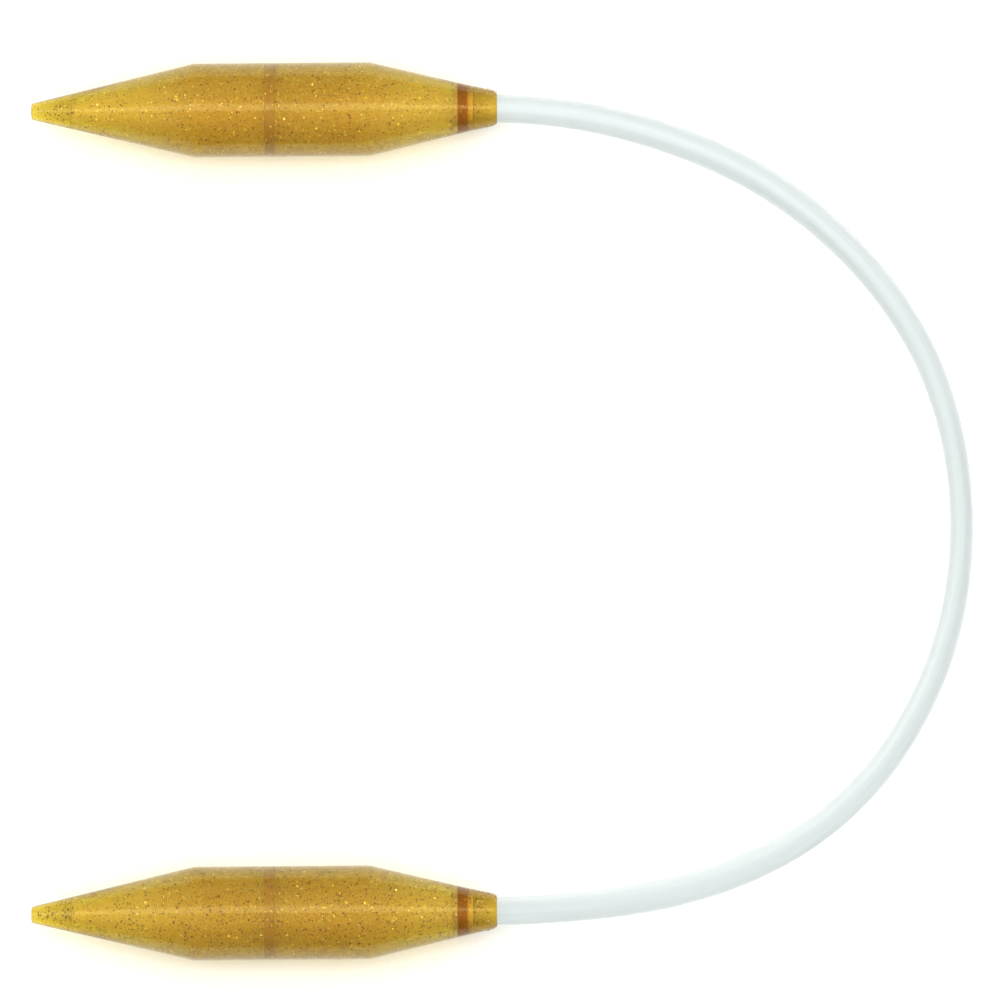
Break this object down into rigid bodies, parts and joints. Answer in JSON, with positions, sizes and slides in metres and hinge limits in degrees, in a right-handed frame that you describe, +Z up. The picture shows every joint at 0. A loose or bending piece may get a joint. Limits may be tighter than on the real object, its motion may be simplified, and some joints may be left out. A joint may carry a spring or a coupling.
{
  "type": "circular knitting needle",
  "caption": "Jumbo circular knitting needle: two hollow double-tapered amber plastic points of 15 mm joined by a springy clear plastic tube in a U.",
  "frame": {"origin": "on the table, midway between the two needles (bottom centre of the box round the two needles, without the tube)", "axes": "+Z up from the table; both points are towards -X and the tube's bend is towards +X; needle A lies on the +Y side and needle B on the -Y side"},
  "size_m": [0.1518, 0.1435, 0.015],
  "materials": {
    "amber_shell": "moulded, translucent, with fine glitter",
    "dark_amber_ring": "moulded, darker amber",
    "amber_cap": "moulded, translucent",
    "natural_nylon": "moulded, natural",
    "clear_tube": "extruded, clear with a milky tint"
  },
  "bodies": {
    "needle_a": {"needle_a_tip_shell": "amber_shell", "needle_a_rear_shell": "amber_shell", "needle_a_collar_ring": "dark_amber_ring", "needle_a_end_cap": "amber_cap", "needle_a_cord_plug": "natural_nylon", "cord": "clear_tube"},
    "needle_b": {"needle_b_tip_shell": "amber_shell", "needle_b_rear_shell": "amber_shell", "needle_b_collar_ring": "dark_amber_ring", "needle_b_end_cap": "amber_cap", "needle_b_cord_plug": "natural_nylon"}
  },
  "joints": [
    {"name": "cord_flex", "type": "hinge", "parent": "needle_a", "child": "needle_b", "pos_m": [0.1118, -0.0025, 0.00225], "axis": [0, 0, 1], "range_deg": [-40, 110], "stiffness_Nm_per_rad": 0.02, "deforming": ["cord"]}
  ]
}
